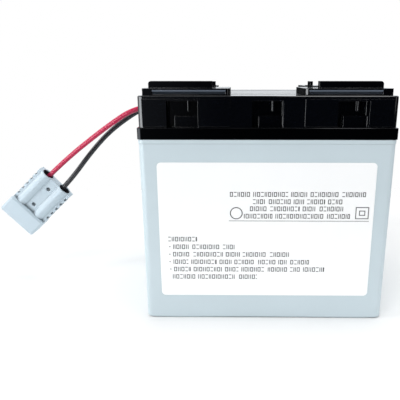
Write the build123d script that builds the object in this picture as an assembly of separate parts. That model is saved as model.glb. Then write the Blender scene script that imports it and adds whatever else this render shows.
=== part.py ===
from build123d import *
from math import cos, radians, sin, tan
import os

# A battery cartridge for an uninterruptible power supply: two sealed batteries side by side, in series.
# Millimetres. X runs along the width, Y along the depth (front at -Y), Z up from the floor.

# Battery envelope
BATTERY_W = 181.0
BATTERY_D = 77.0
BATTERY_H = 167.0
LID_H = 21.6
FLANGE_H = 8.0
FLANGE_R = 3.0
FLANGE_EDGE = 0.4

# Case
SHOULDER = 0.5
SHOULDER_GAP = 0.2
CASE_DRAFT = 0.4
CASE_R = 4.5
CASE_EDGE = 1.2
CASE_FLOOR = 3.0
CASE_WALL = 3.25
RIM_BAND_H = 2.8
RIM_BAND_PROUD = 0.3
RIM_UP = 4.6
RIM_R = 3.5
SKIRT_WALL = 2.0
SKIRT_CLEAR = 0.2
CELLS = 6
PARTITION = 2.0
WELD_W = 8.0
WELD_H = 4.6
WELD_CLEAR = 0.2

# Plates
NEGATIVES = 3
POSITIVES = 2
NEGATIVE_T = 2.8
POSITIVE_T = 3.4
STACK_CLEAR = 0.15
PLATE_CLEAR = 1.75
PLATE_TAB_H = 6.0
SEPARATOR_UP = 3.0
STRAP_D = 12.0
STRAP_T = 6.0
STRAP_IN = 6.0
HEAD_ROOM = 12.0

# Lid
LID_END_INSET = 1.2
LID_SIDE_INSET = 0.9
LID_R = 4.0
LID_EDGE = 0.6
LID_TOP_WALL = 2.8
PANEL_PROUD = 0.45
PANEL_L = 60.4
PANEL_FROM_END = 4.5
PANEL_FROM_FLANGE = 0.8
PANEL_FROM_TOP = 2.2
POCKET_W = 21.5
POCKET_DEPTH = 8.0
POCKET_FROM_TOP = 3.4
POCKET_WALL = 2.0
POCKET_PITCHES = 2
BLOCK_LEFT = 6.0
BLOCK_H = 7.7
BLOCK_BACK = 4.2
RIB_X = 4.0
RIB_T = 1.2
RIB_H = 7.2
RIB_BACK = 4.1
NOTCH_DEPTH = 22.5
NOTCH_IN = 13.0
NOTCH_UP = 2.0
NOTCH_WALL = 2.4

# Vents
VENT_Y = -7.0
VENT_STRIP_END = 8.5
VENT_STRIP_D = 18.0
VENT_STRIP_T = 2.0
VENT_STRIP_CLEAR = 0.15
WELL_W = 12.5
WELL_DEPTH = 8.5
WELL_WALL = 1.6
VENT_HOLE = 2.4
VALVE_W = 8.6
SLIT_W = 1.2
SLIT_L = 7.0

# Terminals, all on the side of the lid that faces the seam
TAB_FROM_SEAM = 16.0
TAB_T = 3.5
TAB_W = 12.0
TAB_FROM_TOP = 3.6
BOLT_FROM_TOP = 10.0
POST_W = 9.0
POST_UP = 3.6
POST_CLEAR = 1.0
POST_HOLE_CLEAR = 0.2
SEAL_W = 12.0
SEAL_T = 1.4
SEAL_SINK = 0.6
SEAL_CLEAR = 0.15
BOLT_D = 5.0
BOLT_HOLE = 5.4
HEAD_AF = 8.0
HEAD_T = 3.5
WASHER_D = 10.0
WASHER_T = 1.0
NUT_AF = 8.0
NUT_T = 4.0
BOLT_OVER = 0.8

# Leads and lugs
LEAD_D = 4.2
LUG_T = 1.2
LUG_RING = 10.4
LUG_NECK = 6.0
BARREL_D = 5.8
BARREL_L = 7.0
FLAG_NECK = 10.5
FLAG_L = 6.0

# Terminal covers
COVER_FROM_END = 3.5
COVER_L = 61.0
COVER_FROM_SIDE = 9.0
COVER_H = 4.7
COVER_WALL = 2.0
COVER_FRONT_WALL = 3.4
COVER_R = 3.0
HOOD_START = 13.3
HOOD_IN_RECESS = 2.5
HOOD_H = 5.5
RIDGE_FROM_END = 0.7
RIDGE_FROM_SIDE = 22.0
RIDGE_T = 6.0
RIDGE_H = 9.5
RIDGE_R = 2.2
FIN_T = 2.2
FIN_W = 14.0
FIN_H = 8.9
DIVIDER_L = 17.0
DIVIDER_PAST = 5.0
DIVIDER_T = 2.0
DIVIDER_UP = 2.6
LEG_FROM_END = 3.0
LEG_W = 8.0
LEG_T = 2.0
LEG_CLEAR = 0.1
LEG_DROP = 7.0
GROOVE_FROM_IN = 3.0
GROOVE_FROM_END = 7.0
GROOVES = ((0.5, 2.3), (3.4, 3.9))

# Labels and joining pads
LABEL_W = 155.0
LABEL_UP = 19.0
LABEL_FROM_FLANGE = 16.2
LABEL_T = 0.2
LABEL_R = 3.0
PAD_W = 130.0
PAD_H = 30.0
PAD_UP = 20.0
PAD_FROM_FLANGE = 17.4

# Two-pole connector. Its axis runs down and to the left from the wire end.
CONN_X = -182.0
CONN_Z = 88.8
CONN_TILT = 43.5
CONN_L = 52.0
CONN_W = 36.0
CONN_T = 16.0
CONN_R = 2.0
CONN_STEP = 1.5
POLE = 8.0
HEAD_L = 17.0
TAIL_NARROW = 0.4
TAIL_T = 8.0
SLEEVE_Y = 9.6
SLEEVE_D = 12.8
ENTRY_D = 10.2
ENTRY_L = 20.0
CRIMP_BORE = 5.4
BORE_L = 27.0
SLOT_W = 9.6
SLOT_UP = 1.0
SLOT_DOWN = 1.6
MOUTH_DEPTH = 14.0
MOUTH_SIDE_WALL = 2.5
MOUTH_WALL = 2.2
MOUTH_RIB = 2.4
CONN_HOLE = 3.6
CONN_HOLE_AT = (9.0, 29.0)
GRIPS = 5
GRIP_W = 2.6
GRIP_DEPTH = 1.5
GRIP_START = 5.5
GRIP_PITCH = 6.0
LEAD_IN = 10.0
CRIMP_D = 5.0
BLADE_W = 9.0
BLADE_T = 1.6
BLADE_FROM_END = 5.0
SPRING_W = 6.0
SPRING_T = 0.5
SPRING_L = 13.0
SPRING_PAST_BORE = 1.0

# How far a joined or cut shape runs past the face it meets
OVERLAP = 0.5

# Places that follow from the sizes
HALF_W = BATTERY_W / 2
HALF_D = BATTERY_D / 2
FLANGE_TOP = BATTERY_H - LID_H
FLANGE_BOTTOM = FLANGE_TOP - FLANGE_H
RIM_TOP = FLANGE_BOTTOM + RIM_UP
CASE_TOP_W = BATTERY_W - 2 * SHOULDER
CASE_BOTTOM_W = CASE_TOP_W - 2 * CASE_DRAFT
CASE_D = BATTERY_D - 2 * SHOULDER
RIM_W = BATTERY_W - 2 * (SKIRT_WALL + SKIRT_CLEAR)
RIM_D = BATTERY_D - 2 * (SKIRT_WALL + SKIRT_CLEAR)
CAVITY_W = CASE_TOP_W - 2 * CASE_WALL
CAVITY_D = CASE_D - 2 * CASE_WALL
CELL_W = (CAVITY_W - (CELLS - 1) * PARTITION) / CELLS
CELL_PITCH = CELL_W + PARTITION
CELL_X = [(i - (CELLS - 1) / 2) * CELL_PITCH for i in range(CELLS)]
STRAP_TOP = RIM_TOP - HEAD_ROOM
STRAP_BOTTOM = STRAP_TOP - STRAP_T
PLATE_TOP = STRAP_BOTTOM - PLATE_TAB_H
PLATE_D = CAVITY_D - 2 * PLATE_CLEAR
STRAP_Y = PLATE_D / 2 - STRAP_IN - STRAP_D / 2
LID_W = BATTERY_W - 2 * LID_END_INSET
LID_D = BATTERY_D - 2 * LID_SIDE_INSET
PANEL_OUT = HALF_W - PANEL_FROM_END
POCKET_X = [n * POCKET_PITCHES * CELL_PITCH for n in (-1, 0, 1)]
POCKET_TOP = BATTERY_H - POCKET_FROM_TOP
TERMINAL_X = CELL_X[-1] - CELL_W / 2 + POST_CLEAR + POST_W / 2
TAB_Y = HALF_D - TAB_FROM_SEAM
BOLT_Z = BATTERY_H - BOLT_FROM_TOP
NOTCH_X = TERMINAL_X - NOTCH_IN
NOTCH_Y = HALF_D - NOTCH_DEPTH
NOTCH_FLOOR = FLANGE_TOP + NOTCH_UP
STRIP_W = BATTERY_W - 2 * VENT_STRIP_END
STRIP_BOTTOM = BATTERY_H - VENT_STRIP_T
WELL_FLOOR = STRIP_BOTTOM - WELL_DEPTH
LUG_Y = TAB_FROM_SEAM - TAB_T / 2
LEAD_Y = LUG_Y - BARREL_D / 2
SEAM_NUT = LUG_Y - LUG_T - WASHER_T
BARREL_START = TERMINAL_X + LUG_NECK
BARREL_END = BARREL_START + BARREL_L
COVER_OUT = HALF_W - COVER_FROM_END
COVER_IN = COVER_OUT - COVER_L
COVER_Y = BATTERY_D - COVER_FROM_SIDE
COVER_TOP = BATTERY_H + COVER_H
HOOD_IN = COVER_IN + HOOD_START
HOOD_Y = NOTCH_DEPTH - HOOD_IN_RECESS
HOOD_TOP = BATTERY_H + HOOD_H
LABEL_H = FLANGE_BOTTOM - LABEL_FROM_FLANGE - LABEL_UP
PAD_Z = (PAD_UP + PAD_H / 2, FLANGE_BOTTOM - PAD_FROM_FLANGE - PAD_H / 2)
HEAD_START = CONN_L - HEAD_L
MOUTH_START = CONN_L - MOUTH_DEPTH


def box(x0, x1, y0, y1, z0, z1):
    """A block between two corners."""
    size = (abs(x1 - x0), abs(y1 - y0), abs(z1 - z0))
    return Pos((x0 + x1) / 2, (y0 + y1) / 2, (z0 + z1) / 2) * Box(*size)


def plate(w, d, r, z0, z1):
    """A block with rounded upright corners, centred on Z."""
    return Pos(0, 0, z0) * extrude(RectangleRounded(w, d, r), z1 - z0)


def rod(x, y, z0, z1, d):
    """An upright cylinder."""
    return Pos(x, y, (z0 + z1) / 2) * Cylinder(d / 2, z1 - z0)


def rod_y(x, y0, y1, z, d):
    """A cylinder along Y."""
    return Pos(x, (y0 + y1) / 2, z) * Rot(90, 0, 0) * Cylinder(d / 2, abs(y1 - y0))


def rod_x(x0, x1, y, z, d):
    """A cylinder along X."""
    return Pos((x0 + x1) / 2, y, z) * Rot(0, 90, 0) * Cylinder(d / 2, abs(x1 - x0))


def front(shape):
    """Moves a battery part to the front place. Its terminals face the seam."""
    return Pos(0, -HALF_D, 0) * shape


def rear(shape):
    """Turns a battery part half round and moves it to the rear place."""
    return Pos(0, HALF_D, 0) * Rot(0, 0, 180) * shape


def save(name, *shapes):
    """Writes the solids of one node."""
    solids = [s for shape in shapes for s in shape.solids()]
    body = solids[0] if len(solids) == 1 else Compound(children=solids)
    export_step(body, "parts/" + name + ".step")
    print(name, len(solids), round(sum(s.volume for s in solids), 1))


def positive_side(cell):
    """The side of a cell that holds its positive strap. It changes from cell to cell."""
    return 1 if cell % 2 == 0 else -1


def weld_box(x0, x1, y, clear):
    """The bar that joins two straps through a partition, or the hole for it when the clearance is nought."""
    z = (STRAP_BOTTOM + STRAP_TOP) / 2
    w, h = WELD_W / 2 - clear, WELD_H / 2 - clear
    return box(x0, x1, y - w, y + w, z - h, z + h)


def make_case():
    """The open case: drafted walls, a rim for the lid and six cells."""
    band_top = FLANGE_BOTTOM - SHOULDER_GAP
    bottom = Plane.XY * RectangleRounded(CASE_BOTTOM_W, CASE_D, CASE_R)
    top = Plane.XY.offset(band_top) * RectangleRounded(CASE_TOP_W, CASE_D, CASE_R)
    body = loft([bottom, top], ruled=True)
    body = chamfer(body.faces().sort_by(Axis.Z)[0].edges(), CASE_EDGE)
    band = (CASE_TOP_W + 2 * RIM_BAND_PROUD, CASE_D + 2 * RIM_BAND_PROUD)
    body += plate(*band, CASE_R, band_top - RIM_BAND_H, band_top)
    body += plate(RIM_W, RIM_D, RIM_R, band_top - 1, RIM_TOP)
    for x in CELL_X:
        half = CELL_W / 2
        body -= box(x - half, x + half, -CAVITY_D / 2, CAVITY_D / 2, CASE_FLOOR, RIM_TOP + 1)
    for i in range(CELLS - 1):
        x = (CELL_X[i] + CELL_X[i + 1]) / 2
        body -= weld_box(x - PARTITION, x + PARTITION, -positive_side(i) * STRAP_Y, 0)
    return body


def make_plates():
    """The positive plates, the negative plates and the separators of all six cells."""
    separators = NEGATIVES + POSITIVES - 1
    stack = CELL_W - 2 * STACK_CLEAR
    gap = (stack - NEGATIVES * NEGATIVE_T - POSITIVES * POSITIVE_T) / separators
    half = PLATE_D / 2
    plus, minus, between = [], [], []
    for i, x in enumerate(CELL_X):
        side = positive_side(i)
        groups = {1: [], -1: []}
        at = x - stack / 2
        for n in range(NEGATIVES + POSITIVES):
            sign = -1 if n % 2 == 0 else 1
            t = POSITIVE_T if sign > 0 else NEGATIVE_T
            y = side * sign * STRAP_Y
            sheet = box(at, at + t, -half, half, CASE_FLOOR, PLATE_TOP)
            sheet += box(at, at + t, y - STRAP_D / 2, y + STRAP_D / 2, PLATE_TOP, STRAP_BOTTOM)
            groups[sign].append(sheet)
            at += t
            if n < separators:
                between.append(box(at, at + gap, -half, half, CASE_FLOOR, PLATE_TOP + SEPARATOR_UP))
                at += gap
        for sign, sheets in groups.items():
            y = side * sign * STRAP_Y
            y0, y1 = y - STRAP_D / 2, y + STRAP_D / 2
            strap = box(x - stack / 2, x + stack / 2, y0, y1, STRAP_BOTTOM, STRAP_TOP)
            for sheet in sheets:
                strap += sheet
            if sign < 0 and i < CELLS - 1:
                strap += weld_box(x + stack / 2, CELL_X[i + 1] - stack / 2, y, WELD_CLEAR)
            (plus if sign > 0 else minus).append(strap)
    return plus, minus, between


def notch(grow=0.0):
    """The two terminal recesses of a lid, open to the end, to the seam and upwards."""
    right = box(NOTCH_X - grow, BATTERY_W, NOTCH_Y - grow, BATTERY_D, NOTCH_FLOOR - grow, BATTERY_H + 1)
    return right + mirror(right, about=Plane.YZ)


def pocket_space(x, side, grow=0.0):
    """The space of one pocket in a long side of the lid."""
    half = POCKET_W / 2 + grow
    face = LID_D / 2 + 1
    y0, y1 = side * (LID_D / 2 - POCKET_DEPTH - grow), side * face
    return box(x - half, x + half, y0, y1, FLANGE_TOP - grow, POCKET_TOP + grow)


def pocket_fill(x, side):
    """What stands in a pocket: a low block on the right and an upright rib above it."""
    right = -side
    face = LID_D / 2
    back = side * (face - POCKET_DEPTH - OVERLAP)
    block_end = x + right * (POCKET_W / 2 + OVERLAP)
    block_face = side * (face - BLOCK_BACK)
    fill = box(
        x - right * BLOCK_LEFT, block_end, back, block_face, FLANGE_TOP - OVERLAP, FLANGE_TOP + BLOCK_H
    )
    rib = x + right * RIB_X
    rib_face = side * (face - RIB_BACK)
    fill += box(rib - RIB_T / 2, rib + RIB_T / 2, back, rib_face, POCKET_TOP - RIB_H, POCKET_TOP + OVERLAP)
    return fill


def strip_space(z0, z1):
    """The room of the vent strip between two heights."""
    half = VENT_STRIP_D / 2
    return box(-STRIP_W / 2, STRIP_W / 2, VENT_Y - half, VENT_Y + half, z0, z1)


def square(x, y, w, z0, z1):
    """An upright square bar."""
    return box(x - w / 2, x + w / 2, y - w / 2, y + w / 2, z0, z1)


def make_lid():
    """The lid moulding: skirt, panels, pockets, terminal recesses and vent wells."""
    lid = plate(LID_W, LID_D, LID_R, RIM_TOP, BATTERY_H)
    lid = chamfer(lid.faces().sort_by(Axis.Z)[-1].edges(), LID_EDGE)
    skirt = plate(BATTERY_W, BATTERY_D, FLANGE_R, FLANGE_BOTTOM, FLANGE_TOP)
    skirt = chamfer(skirt.faces().sort_by(Axis.Z)[-1].edges(), FLANGE_EDGE)
    inner = (RIM_W + 2 * SKIRT_CLEAR, RIM_D + 2 * SKIRT_CLEAR)
    skirt -= plate(*inner, RIM_R + SKIRT_CLEAR, FLANGE_BOTTOM - 1, RIM_TOP)
    lid += skirt
    face = -LID_D / 2
    for s in (-1, 1):
        ends = (s * (PANEL_OUT - PANEL_L), s * PANEL_OUT)
        heights = (FLANGE_TOP + PANEL_FROM_FLANGE, BATTERY_H - PANEL_FROM_TOP)
        lid += box(*ends, face - PANEL_PROUD, face + 1, *heights)
    for x in POCKET_X:
        lid -= pocket_space(x, -1)
        lid += pocket_fill(x, -1)
    lid -= notch()
    keep = notch(NOTCH_WALL)
    for x in POCKET_X:
        keep += pocket_space(x, -1, POCKET_WALL)
    keep += strip_space(STRIP_BOTTOM - WELL_WALL, BATTERY_H)
    for x in CELL_X:
        keep += square(x, VENT_Y, WELL_W + 2 * WELL_WALL, WELL_FLOOR - WELL_WALL, BATTERY_H)
    for x in CELL_X:
        half = CELL_W / 2
        room = box(x - half, x + half, -CAVITY_D / 2, CAVITY_D / 2, RIM_TOP - 1, BATTERY_H - LID_TOP_WALL)
        lid -= room - keep
    lid -= strip_space(STRIP_BOTTOM, BATTERY_H + 1)
    for x in CELL_X:
        lid -= square(x, VENT_Y, WELL_W, WELL_FLOOR, BATTERY_H)
        lid -= square(x, VENT_Y, VENT_HOLE, WELL_FLOOR - WELL_WALL - 1, WELL_FLOOR + 1)
    for s in (-1, 1):
        x = s * TERMINAL_X
        hole = POST_W + 2 * POST_HOLE_CLEAR
        lid -= square(x, TAB_Y, hole, NOTCH_FLOOR - NOTCH_WALL - 1, NOTCH_FLOOR + 1)
        lid -= square(x, TAB_Y, SEAL_W + 2 * SEAL_CLEAR, NOTCH_FLOOR - SEAL_SINK, NOTCH_FLOOR + 1)
    return lid


def make_vent_cover():
    """The strip over the six vent wells, with a slit at every well."""
    x0, y0 = STRIP_W / 2 - VENT_STRIP_CLEAR, VENT_STRIP_D / 2 - VENT_STRIP_CLEAR
    strip = box(-x0, x0, VENT_Y - y0, VENT_Y + y0, STRIP_BOTTOM, BATTERY_H)
    for x in CELL_X:
        slit = (x - SLIT_L / 2, x + SLIT_L / 2, VENT_Y - SLIT_W / 2, VENT_Y + SLIT_W / 2)
        strip -= box(*slit, STRIP_BOTTOM - 1, BATTERY_H + 1)
    return strip


def make_caps():
    """The six rubber valve plugs, each pressed onto its vent hole by the strip above."""
    return [square(x, VENT_Y, VALVE_W, WELL_FLOOR, STRIP_BOTTOM) for x in CELL_X]


def make_terminal(s):
    """One terminal: a square post that stands on the strap and an upright tab."""
    x = s * TERMINAL_X
    post_top = NOTCH_FLOOR + POST_UP
    body = square(x, TAB_Y, POST_W, STRAP_TOP, post_top)
    tab = (x - TAB_W / 2, x + TAB_W / 2, TAB_Y - TAB_T / 2, TAB_Y + TAB_T / 2)
    body += box(*tab, post_top - 1, BATTERY_H - TAB_FROM_TOP)
    body -= rod_y(x, TAB_Y - TAB_T, TAB_Y + TAB_T, BOLT_Z, BOLT_HOLE)
    return body


def make_seal(s):
    """The square seal round a post, set into the floor of its recess."""
    x = s * TERMINAL_X
    z0 = NOTCH_FLOOR - SEAL_SINK
    return square(x, TAB_Y, SEAL_W, z0, z0 + SEAL_T) - square(x, TAB_Y, POST_W, z0 - 1, z0 + SEAL_T + 1)


def hexagon_y(x, y0, y1, z, across):
    """A hexagonal block along Y."""
    shape = extrude(RegularPolygon(across / 2, 6, major_radius=False), abs(y1 - y0))
    return Pos(x, max(y0, y1), z) * Rot(90, 0, 0) * shape


def make_bolt(s):
    """The bolt of one terminal, with its head on the battery side of the tab."""
    x = s * TERMINAL_X
    head = TAB_Y - TAB_T / 2
    end = HALF_D - SEAM_NUT + NUT_T + BOLT_OVER
    return hexagon_y(x, head - HEAD_T, head, BOLT_Z, HEAD_AF) + rod_y(x, head, end, BOLT_Z, BOLT_D)


def make_washer(s):
    """The washer under the nut."""
    x = s * TERMINAL_X
    y0 = HALF_D - SEAM_NUT - WASHER_T
    return rod_y(x, y0, y0 + WASHER_T, BOLT_Z, WASHER_D) - rod_y(x, y0 - 1, y0 + 2, BOLT_Z, BOLT_HOLE)


def make_nut(s):
    """The nut on the seam side, on the bolt's thread."""
    x = s * TERMINAL_X
    y0 = HALF_D - SEAM_NUT
    nut = hexagon_y(x, y0, y0 + NUT_T, BOLT_Z, NUT_AF)
    return nut - rod_y(x, y0 - 1, y0 + NUT_T + 1, BOLT_Z, BOLT_D)


def make_tongue(s, neck):
    """The flat ring of a lug against a tab, with a neck that points to the end of the battery."""
    ring = Circle(LUG_RING / 2) + Pos(s * neck / 2, 0) * Rectangle(neck, BARREL_D) - Circle(BOLT_HOLE / 2)
    y0 = TAB_Y + TAB_T / 2
    return Pos(s * TERMINAL_X, y0 + LUG_T, BOLT_Z) * Rot(90, 0, 0) * extrude(ring, LUG_T)


def make_lug(s):
    """A lug of a long lead, with its barrel in line with the neck."""
    lead_y = HALF_D - LEAD_Y
    return make_tongue(s, LUG_NECK) + rod_x(s * (BARREL_START - 1), s * BARREL_END, lead_y, BOLT_Z, BARREL_D)


def make_flag_lug(s):
    """A lug of the link between the batteries, with its barrel square to the neck."""
    x = s * (TERMINAL_X + FLAG_NECK)
    y0 = TAB_Y + TAB_T / 2
    return make_tongue(s, FLAG_NECK) + rod_y(x, y0, y0 + FLAG_L, BOLT_Z, BARREL_D)


def lead_radii(points):
    """The bend radius at each inner point of a route, from the shorter run beside it."""
    radii = []
    for a, b, c in zip(points, points[1:], points[2:]):
        before, after = Vector(*b) - Vector(*a), Vector(*c) - Vector(*b)
        turn = radians(before.get_angle(after))
        radii.append(0.45 * min(before.length, after.length) / tan(turn / 2))
    return radii


def make_lead(name, points):
    """A round lead along straight runs joined by tangent arcs, each a piece of a cylinder or a ring."""
    radii = lead_radii(points)
    path = FilletPolyline(*points, radius=radii)
    lead = None
    for edge in path.edges():
        start, end = edge % 0, edge % 1
        section = Plane(origin=edge @ 0, z_dir=start) * Circle(LEAD_D / 2)
        if edge.geom_type == GeomType.CIRCLE:
            turn = Axis(edge.arc_center, start.cross(end))
            piece = revolve(section, axis=turn, revolution_arc=start.get_angle(end))
        else:
            piece = extrude(section, edge.length)
        lead = piece if lead is None else lead + piece
    print(name, "length", round(path.length, 1), "radii", [round(r, 1) for r in radii])
    return lead


def make_link():
    """The short straight lead that joins the two batteries between the flag lugs."""
    y = LUG_Y - FLAG_L
    return rod_y(TERMINAL_X + FLAG_NECK, -y, y, BOLT_Z, LEAD_D)


def make_cover():
    """The terminal cover of the +X end: two wings, a hood over the recesses, a ridge, a fin and legs."""
    wall = COVER_WALL
    wings = ((-1, COVER_IN), (1, HOOD_IN))
    cover = box(HOOD_IN, COVER_OUT, -HOOD_Y, HOOD_Y, BATTERY_H, HOOD_TOP)
    for s, inner in wings:
        wing = box(inner, COVER_OUT, s * (HOOD_Y - 1), s * COVER_Y, BATTERY_H, COVER_TOP)
        inner_edges = wing.edges().filter_by(Axis.Z).sort_by(Axis.X)[:2]
        cover += fillet(inner_edges, COVER_R)
    ridge_y = RIDGE_FROM_SIDE - COVER_Y
    sides = (ridge_y - RIDGE_T / 2, ridge_y + RIDGE_T / 2)
    ridge = box(HOOD_IN, COVER_OUT - RIDGE_FROM_END, *sides, COVER_TOP - 1, BATTERY_H + RIDGE_H)
    top_end = ridge.edges().filter_by(Axis.Y).sort_by(Axis.Z)[-2:].sort_by(Axis.X)[-1]
    cover += fillet([top_end], RIDGE_R)
    cover += box(HOOD_IN, HOOD_IN + FIN_T, -FIN_W / 2, FIN_W / 2, HOOD_TOP - 1, BATTERY_H + FIN_H)
    cover -= box(HOOD_IN + wall, COVER_OUT - wall, -HOOD_Y, HOOD_Y, BATTERY_H - 1, HOOD_TOP - wall)
    leg_y = NOTCH_DEPTH - LEG_CLEAR
    leg_out = COVER_OUT - LEG_FROM_END
    for s, inner in wings:
        sides = (s * (HOOD_Y + wall), s * (COVER_Y - COVER_FRONT_WALL))
        cover -= box(inner + wall, COVER_OUT - wall, *sides, BATTERY_H - 1, COVER_TOP - wall)
        outer = s * (COVER_Y + OVERLAP)
        groove_in, groove_out = inner + GROOVE_FROM_IN, COVER_OUT - GROOVE_FROM_END
        for low, high in GROOVES:
            z0, z1 = BATTERY_H + low, BATTERY_H + high
            corners = [(outer, z0 - OVERLAP), (s * (COVER_Y + z0 - z1), z1), (outer, z1)]
            profile = Plane.YZ.offset(groove_in) * make_face(Polyline(*corners, close=True))
            cover -= extrude(profile, groove_out - groove_in)
        leg = (leg_out - LEG_W, leg_out, s * (leg_y - LEG_T), s * leg_y)
        cover += box(*leg, BATTERY_H - LEG_DROP, COVER_TOP - 1)
    divider_out = TERMINAL_X + DIVIDER_PAST
    divider = (divider_out - DIVIDER_L, divider_out, -DIVIDER_T / 2, DIVIDER_T / 2)
    return cover + box(*divider, NOTCH_FLOOR + DIVIDER_UP, HOOD_TOP - 1)


def make_front_label():
    """The thin label on the front face of the front case."""
    sheet = extrude(RectangleRounded(LABEL_W, LABEL_H, LABEL_R), LABEL_T)
    return Pos(0, -HALF_D - CASE_D / 2, LABEL_UP + LABEL_H / 2) * Rot(90, 0, 0) * sheet


def make_pads():
    """The pads that join the two cases at the seam."""
    gap = HALF_D - CASE_D / 2
    return [box(-PAD_W / 2, PAD_W / 2, -gap, gap, z - PAD_H / 2, z + PAD_H / 2) for z in PAD_Z]


CONN_PLANE = Plane(
    origin=(CONN_X, 0, CONN_Z),
    x_dir=(-cos(radians(CONN_TILT)), 0, -sin(radians(CONN_TILT))),
    z_dir=(0, -1, 0),
)


def conn_point(along, across):
    """A point in the middle plane of the connector, from its wire end."""
    return tuple(CONN_PLANE.from_local_coords(Vector(along, across, 0)))


def make_housing():
    """The two-pole housing along X: wide wire sleeves, web, grips and an open mating mouth."""
    tail_end = HEAD_START + 1
    tail_side = CONN_W / 2 - TAIL_NARROW
    body = box(0, tail_end, -tail_side, tail_side, -TAIL_T / 2, TAIL_T / 2)
    for s in (-1, 1):
        body += rod_x(0, tail_end, s * SLEEVE_Y, 0, SLEEVE_D)
    head = box(HEAD_START, CONN_L, -CONN_W / 2, CONN_W / 2, -CONN_T / 2, CONN_T / 2)
    head = fillet(head.edges().filter_by(Axis.Z), CONN_R)
    head = chamfer(head.faces().sort_by(Axis.X)[0].edges().filter_by(Axis.Y), CONN_STEP)
    body += head
    mouth_z = CONN_T / 2 - MOUTH_WALL
    for s in (-1, 1):
        mouth = (s * MOUTH_RIB / 2, s * (CONN_W / 2 - MOUTH_SIDE_WALL))
        body -= box(MOUTH_START, CONN_L + 1, *mouth, -mouth_z, mouth_z)
        body -= rod_x(-1, ENTRY_L, s * SLEEVE_Y, 0, ENTRY_D)
        body -= rod_x(ENTRY_L - 1, BORE_L, s * POLE, 0, CRIMP_BORE)
        slot = (s * POLE - SLOT_W / 2, s * POLE + SLOT_W / 2)
        body -= box(BORE_L - 1, MOUTH_START + 1, *slot, -SLOT_DOWN, SLOT_UP)
        for i in range(GRIPS):
            at = GRIP_START + i * GRIP_PITCH
            cut = (s * (tail_side - GRIP_DEPTH), s * (tail_side + 1))
            body -= box(at - GRIP_W / 2, at + GRIP_W / 2, *cut, -CONN_T, CONN_T)
    for t in CONN_HOLE_AT:
        body -= rod(t, 0, -CONN_T, CONN_T, CONN_HOLE)
    return body


def make_contact(s):
    """One contact: a crimp barrel in the bore and a flat blade in the mouth."""
    y = s * POLE
    blade = (BORE_L - 1, CONN_L - BLADE_FROM_END, y - BLADE_W / 2, y + BLADE_W / 2)
    return rod_x(LEAD_IN, BORE_L, y, 0, CRIMP_D) + box(*blade, -BLADE_T / 2, BLADE_T / 2)


def make_spring(s):
    """The leaf spring under a blade."""
    y = s * POLE
    x0 = BORE_L + SPRING_PAST_BORE
    z = -BLADE_T / 2
    return box(x0, x0 + SPRING_L, y - SPRING_W / 2, y + SPRING_W / 2, z - SPRING_T, z)


RED_ROUTE = [
    (-BARREL_END, -LEAD_Y, BOLT_Z),
    (-102.0, -LEAD_Y, BOLT_Z),
    (-133.2, -6.0, 137.6),
    conn_point(-18.0, -POLE),
    conn_point(LEAD_IN, -POLE),
]
BLACK_ROUTE = [
    (-BARREL_END, LEAD_Y, BOLT_Z),
    (-97.5, LEAD_Y, BOLT_Z),
    (-128.5, 7.0, 137.3),
    (-148.0, 3.5, 117.5),
    conn_point(-9.0, POLE),
    conn_point(LEAD_IN, POLE),
]

os.makedirs("parts", exist_ok=True)
case, lid = make_case(), make_lid()
vent_cover, caps = make_vent_cover(), make_caps()
plus, minus, between = make_plates()
for side, place in (("front", front), ("rear", rear)):
    save(side + "_case", place(case))
    save(side + "_lid", place(lid))
    save(side + "_vent_cover", place(vent_cover))
    save(side + "_valve_caps", *[place(c) for c in caps])
    save(side + "_positive_plates", *[place(p) for p in plus])
    save(side + "_negative_plates", *[place(p) for p in minus])
    save(side + "_separators", *[place(p) for p in between])
    save(side + "_positive_terminal", place(make_terminal(-1)))
    save(side + "_negative_terminal", place(make_terminal(1)))

every = [(s, place) for place in (front, rear) for s in (-1, 1)]
save("terminal_seals", *[place(make_seal(s)) for s, place in every])
save("terminal_bolts", *[place(make_bolt(s)) for s, place in every])
save("terminal_washers", *[place(make_washer(s)) for s, place in every])
save("terminal_nuts", *[place(make_nut(s)) for s, place in every])
save("red_lead_lug", front(make_lug(-1)))
save("black_lead_lug", rear(make_lug(1)))
save("link_lugs", front(make_flag_lug(1)), rear(make_flag_lug(-1)))
save("link_lead", make_link())

cover = make_cover()
save("right_terminal_cover", cover)
save("left_terminal_cover", mirror(cover, about=Plane.YZ))
save("front_label", make_front_label())
save("joining_pads", *make_pads())

save("red_lead", make_lead("red_lead", RED_ROUTE))
save("black_lead", make_lead("black_lead", BLACK_ROUTE))
save("connector_housing", CONN_PLANE.location * make_housing())
save("connector_contacts", *[CONN_PLANE.location * make_contact(s) for s in (-1, 1)])
save("contact_springs", *[CONN_PLANE.location * make_spring(s) for s in (-1, 1)])
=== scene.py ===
import math

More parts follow.
